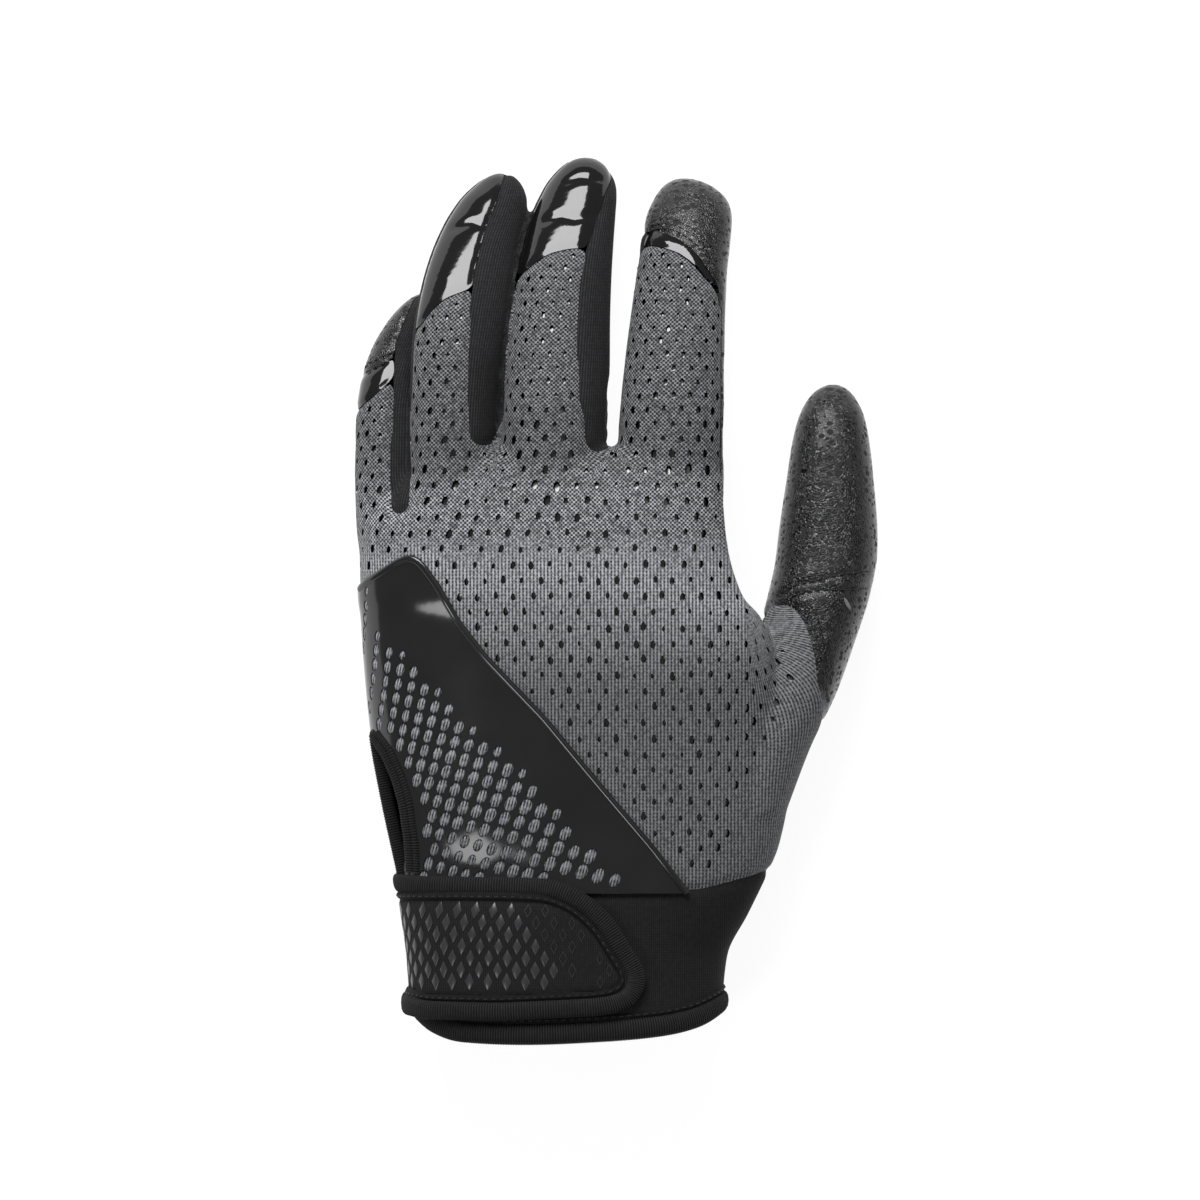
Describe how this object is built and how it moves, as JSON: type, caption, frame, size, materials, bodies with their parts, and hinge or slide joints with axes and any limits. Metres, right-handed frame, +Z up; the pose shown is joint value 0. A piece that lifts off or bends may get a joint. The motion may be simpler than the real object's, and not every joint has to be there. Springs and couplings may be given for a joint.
{
  "type": "softball batting glove",
  "caption": "Left-hand batting glove, knit back and leather palm, lying palm down with fingers filled out; open at the wrist, closed by a bound strap.",
  "frame": {"origin": "on the surface it rests on, under the middle of the glove's bounding box", "axes": "+Y towards the fingertips, +X towards the thumb, +Z up out of the back of the hand"},
  "size_m": [0.1257, 0.2126, 0.0435],
  "materials": {
    "knit_mesh": "warp-knit polyester, perforated, matt grey",
    "palm_leather": "thin sheepskin, spotted black, half gloss",
    "ribbed_knit": "fine ribbed stretch knit, matt black",
    "patent_film": "patent polyurethane film, high gloss black",
    "overlay_film": "moulded polyurethane film, satin gloss black",
    "neoprene": "jersey-faced neoprene, matt black",
    "binding_tape": "ribbed grosgrain binding tape, black",
    "strap_face": "moulded strap face with raised lozenges, matt and satin black"
  },
  "bodies": {
    "root": {"back_mesh_panel": "knit_mesh", "palm_leather_panel": "palm_leather", "thumb_leather": "palm_leather", "fourchette_index_middle": "ribbed_knit", "fourchette_middle_ring": "ribbed_knit", "fourchette_ring_pinky": "ribbed_knit", "fingertip_film_middle": "patent_film", "fingertip_film_ring": "patent_film", "film_strip_index": "patent_film", "film_strip_pinky": "patent_film", "side_overlay": "overlay_film", "wrist_cuff": "neoprene", "cuff_hem_binding": "binding_tape", "wrist_strap": "strap_face", "strap_binding": "binding_tape", "vent_binding": "binding_tape"}
  },
  "joints": []
}
